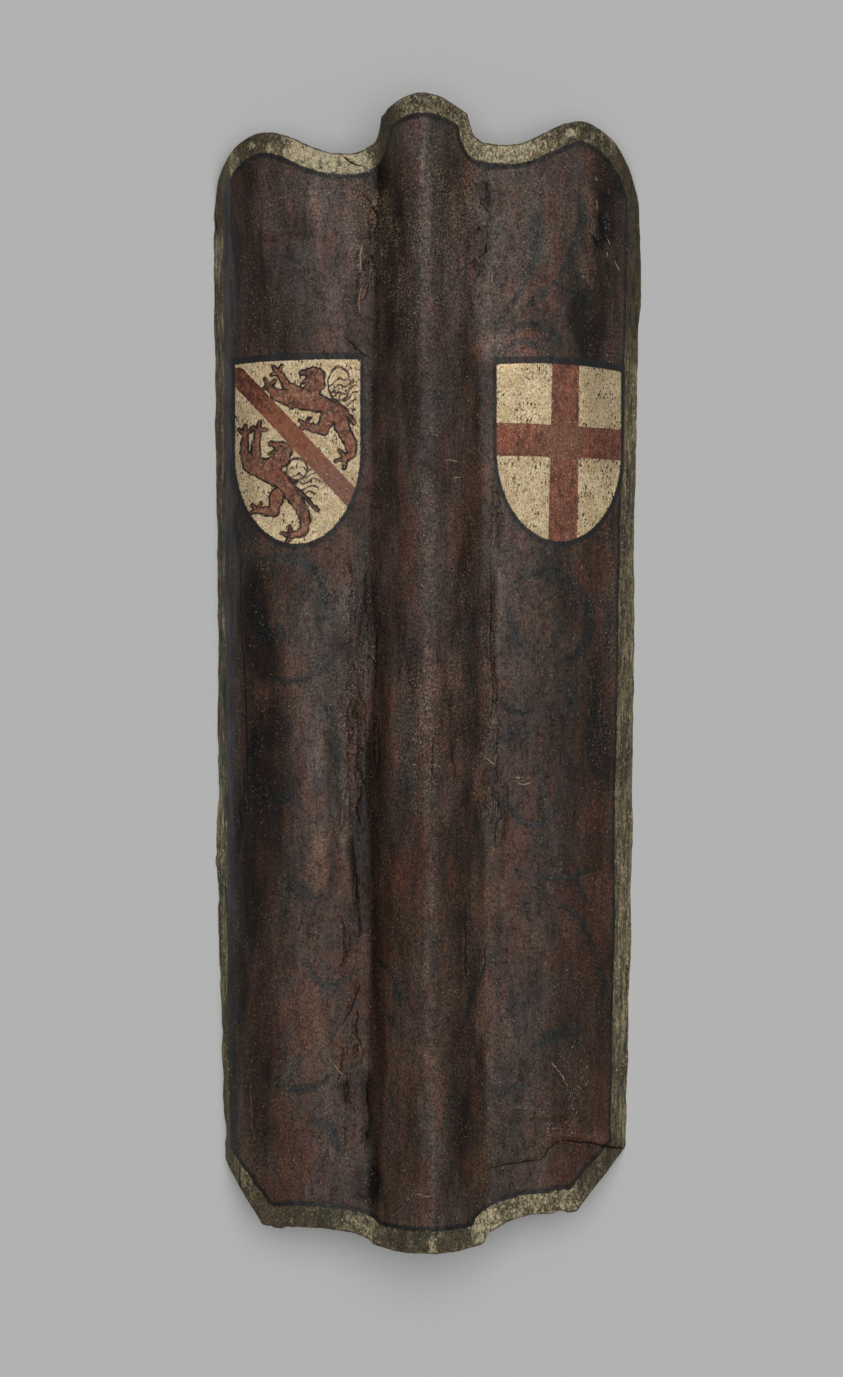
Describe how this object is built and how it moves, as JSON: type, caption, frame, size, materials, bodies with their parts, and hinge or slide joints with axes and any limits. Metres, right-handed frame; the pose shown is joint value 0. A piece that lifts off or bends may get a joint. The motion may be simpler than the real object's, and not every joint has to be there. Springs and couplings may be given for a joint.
{
  "type": "pavise",
  "caption": "Tall wooden shield with a central keel, lobed top edge and cut lower corners, painted dark with a pale border.",
  "frame": {"origin": "middle of the shield's bounding box, on the floor that its two long edges lie on", "axes": "+X across the shield to the viewer's right, +Y along it to the top edge, +Z out of the painted face"},
  "size_m": [0.4866, 1.2861, 0.13],
  "materials": {
    "painted_board": "aged dark red-brown paint over hide and wood, olive-beige painted border, satin with fine cracks and wear"
  },
  "bodies": {
    "root": {"pavise_board": "painted_board"}
  },
  "joints": []
}
